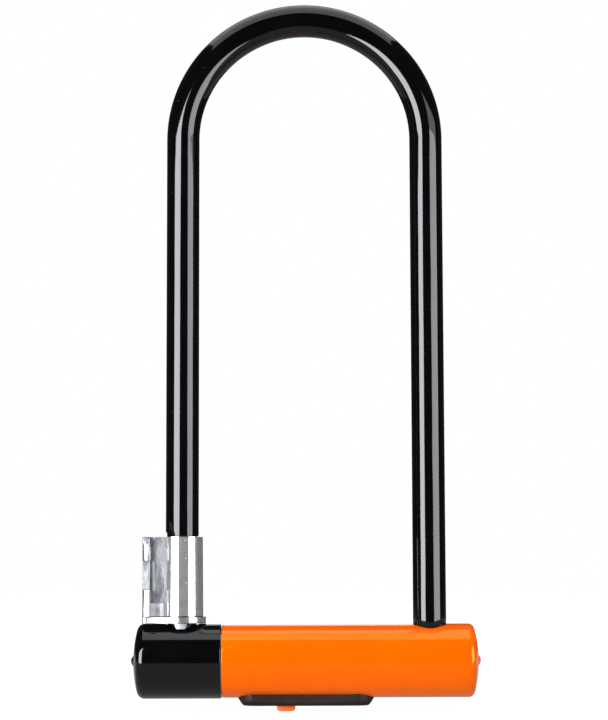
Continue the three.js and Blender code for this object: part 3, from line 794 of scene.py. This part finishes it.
# ---- Camera ----------------------------------------------------------------------------------
camera_data = bpy.data.cameras.new("camera")
camera_data.sensor_width = 36.0
camera_data.lens = 104.24
camera = bpy.data.objects.new("camera", camera_data)
bpy.context.scene.collection.objects.link(camera)
EYE = Vector((-0.0005, -1.0, AXIS * MM + 0.04533))
TILT_UP, ROLL = math.radians(5.61), -0.003
camera.matrix_world = (
    Matrix.Translation(EYE)
    @ Matrix.Rotation(math.radians(90) + TILT_UP, 4, "X")
    @ Matrix.Rotation(ROLL, 4, "Z")
)
bpy.context.scene.camera = camera


# ---- Studio ----------------------------------------------------------------------------------
def bare_tree(name):
    """A new material and its node tree, empty but for the output."""
    material = bpy.data.materials.new(name)
    material.use_nodes = True
    tree = material.node_tree
    tree.nodes.clear()
    return material, tree, tree.nodes.new("ShaderNodeOutputMaterial").inputs["Surface"]


def mesh_of(name, shape, **settings):
    """A mesh made by one of bmesh's shape operators."""
    mesh = bpy.data.meshes.new(name)
    work = bmesh.new()
    shape(work, **settings)
    work.to_mesh(mesh)
    work.free()
    return mesh


def studio_object(name, mesh, material):
    """Puts a mesh into the scene; it casts no shadow."""
    mesh.materials.append(material)
    obj = bpy.data.objects.new(name, mesh)
    bpy.context.scene.collection.objects.link(obj)
    obj.visible_shadow = False
    return obj


def emitter(name, mesh, strength, tint=(1, 1, 1), seen_by=("glossy", "diffuse")):
    """A glowing mesh that the camera doesn't see."""
    material, tree, surface = bare_tree(name)
    glow = tree.nodes.new("ShaderNodeEmission")
    glow.inputs["Strength"].default_value = strength
    glow.inputs["Color"].default_value = (*tint, 1)
    tree.links.new(glow.outputs[0], surface)
    lamp = studio_object(name, mesh, material)
    lamp.visible_camera = False
    lamp.visible_glossy = "glossy" in seen_by
    lamp.visible_diffuse = "diffuse" in seen_by


def panel(name, corners, strength, tint=(1, 1, 1), seen_by=("glossy", "diffuse")):
    """A flat emitter."""
    mesh = bpy.data.meshes.new(name)
    mesh.from_pydata([Vector(c) for c in corners], [], [list(range(len(corners)))])
    emitter(name, mesh, strength, tint, seen_by)


def level(x, y0, y1, z):
    """Corners of a flat rectangle at one height, from -x to x."""
    return [(-x, y0, z), (x, y0, z), (x, y1, z), (-x, y1, z)]


def upright(x, y, top, bottom):
    """Corners of an upright rectangle facing along Y, from -x to x."""
    return [(-x, y, top), (x, y, top), (x, y, bottom), (-x, y, bottom)]


def softbox(name, corners, gloss, matte=0):
    """One softbox: gloss is how bright it looks in reflections, matte how strongly it lights."""
    panel(name + "_seen", corners, gloss, COOL, ("glossy",))
    if matte:
        panel(name + "_cast", corners, matte, (1, 1, 1), ("diffuse",))


# Tall softboxes to the left and right, one low overhead, and a narrow one straight behind.
COOL = (0.955, 0.98, 1.03)
LEFT = [(-0.148, -0.48, 0.44), (-1.0, -0.60, 0.46), (-1.06, -0.60, -0.22), (-0.24, -0.48, -0.22),
        (-0.205, -0.48, 0.30)]
RIGHT = [(0.31, -0.505, 0.41), (0.86, -0.22, 0.43), (0.86, -0.22, -0.3), (0.37, -0.505, -0.3)]
RIGHT_HIGH = [(0.31, -0.505, 0.415), (0.86, -0.22, 0.435), (0.86, -0.22, 0.56),
              (0.33, -0.505, 0.53)]
OVER = [(-0.205, -0.19, 0.541), (0.19, -0.19, 0.541), (0.19, 0.20, 0.541), (-0.205, 0.20, 0.541)]
softbox("left", LEFT, 13.5, 9)
softbox("right", RIGHT, 7, 4.6)
softbox("over", OVER, 1.6)
panel("fill_over", level(1.1, -0.62, 0.30, 0.95), 1.7, seen_by=("diffuse",))
softbox("right_high", RIGHT_HIGH, 2.4)
softbox("rear", upright(0.13, 1.0, 0.75, -0.05), 1.8)
panel("fill_rear", upright(0.9, 1.1, 0.8, 0.0), 5, seen_by=("diffuse",))
# What the glossy surfaces see below: the table, grey, ending a little in front of the lock.
panel("table_card", level(1.5, -0.31, 1.2, -0.001), 0.38)
# A dim grey room all round, for reflections only.
room = mesh_of("dim_room", bmesh.ops.create_icosphere, subdivisions=3, radius=4)
emitter("room_glow", room, 0.045, seen_by=("glossy",))


def floor():
    """Pale floor, clear from below and nearly self-lit, so it stays white; dimmer in the middle."""
    material, tree, surface = bare_tree("floor")

    def node(kind):
        return tree.nodes.new("ShaderNode" + kind)

    glow = node("Emission")
    glow.inputs["Color"].default_value = (1, 1, 1, 1)
    matte = node("BsdfDiffuse")
    matte.inputs["Color"].default_value = (0.07, 0.07, 0.07, 1)
    reach = node("VectorMath")
    reach.operation = "LENGTH"
    spread = node("MapRange")
    spread.inputs["From Min"].default_value, spread.inputs["From Max"].default_value = 0.12, 0.32
    spread.inputs["To Min"].default_value, spread.inputs["To Max"].default_value = 0.95, 1.0
    both, one_way = node("AddShader"), node("MixShader")
    for source, target in (
        (node("TexCoord").outputs["Object"], reach.inputs[0]),
        (reach.outputs["Value"], spread.inputs["Value"]),
        (spread.outputs["Result"], glow.inputs["Strength"]),
        (glow.outputs[0], both.inputs[0]),
        (matte.outputs[0], both.inputs[1]),
        (node("NewGeometry").outputs["Backfacing"], one_way.inputs[0]),
        (both.outputs[0], one_way.inputs[1]),
        (node("BsdfTransparent").outputs[0], one_way.inputs[2]),
        (one_way.outputs[0], surface),
    ):
        tree.links.new(source, target)
    disc = mesh_of("floor", bmesh.ops.create_circle, cap_ends=True, segments=96, radius=6)
    ground = studio_object("floor", disc, material)
    ground.location.z = -0.0004
    ground.visible_glossy = ground.visible_diffuse = False


floor()

world = bpy.data.worlds.new("white")
bpy.context.scene.world = world
world.use_nodes = True
sky = world.node_tree.nodes["Background"]
sky.inputs["Color"].default_value = (1, 1, 1, 1)
sky.inputs["Strength"].default_value = 1.0
for ray in ("diffuse", "glossy", "transmission", "scatter"):
    setattr(world.cycles_visibility, ray, False)
bpy.context.scene.view_settings.view_transform = "Standard"
